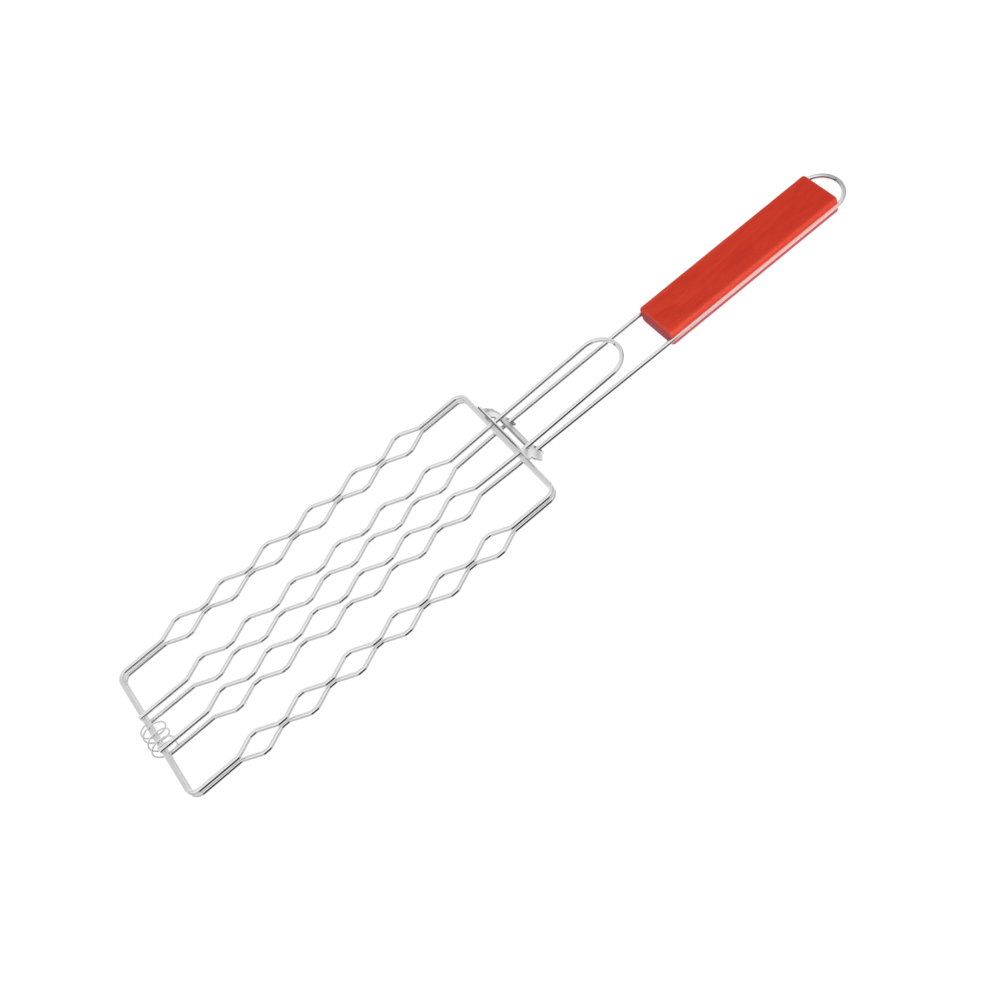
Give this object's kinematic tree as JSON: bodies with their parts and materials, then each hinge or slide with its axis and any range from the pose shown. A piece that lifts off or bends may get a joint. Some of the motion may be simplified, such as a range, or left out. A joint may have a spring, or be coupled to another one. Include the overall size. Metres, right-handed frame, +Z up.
{
  "type": "grill basket",
  "caption": "Flat hinged wire grill basket with wavy strands, a long wooden-gripped handle with a hanging loop, a short lid handle and a sliding plate lock.",
  "frame": {"origin": "on the table, below the middle of the whole object when it lies closed", "axes": "+X along the basket from the coil hinge towards the wooden grip, +Y across it, +Z up"},
  "size_m": [0.4808, 0.1002, 0.0241],
  "materials": {
    "wire": "bright drawn wire, chrome plated",
    "coil": "thin bright spring wire",
    "lock": "stamped sheet, bright satin",
    "wood": "red stained and lacquered hardwood"
  },
  "bodies": {
    "base": {"lower_grid_ring": "wire", "lower_grid_centre_wire": "wire", "wooden_grip": "wood", "hinge_coil": "coil"},
    "lid": {"upper_grid_ring": "wire", "upper_grid_centre_wire": "wire"},
    "lock": {"slide_lock": "lock"}
  },
  "joints": [
    {"name": "lid_hinge", "type": "hinge", "parent": "base", "child": "lid", "pos_m": [-0.2333, 0, 0.0112], "axis": [0, -1, 0], "range_deg": [0, 180]},
    {"name": "lock_slide", "type": "slide", "parent": "base", "child": "lock", "axis": [0.9998, 0, -0.0185], "range_m": [0, 0.085]}
  ]
}
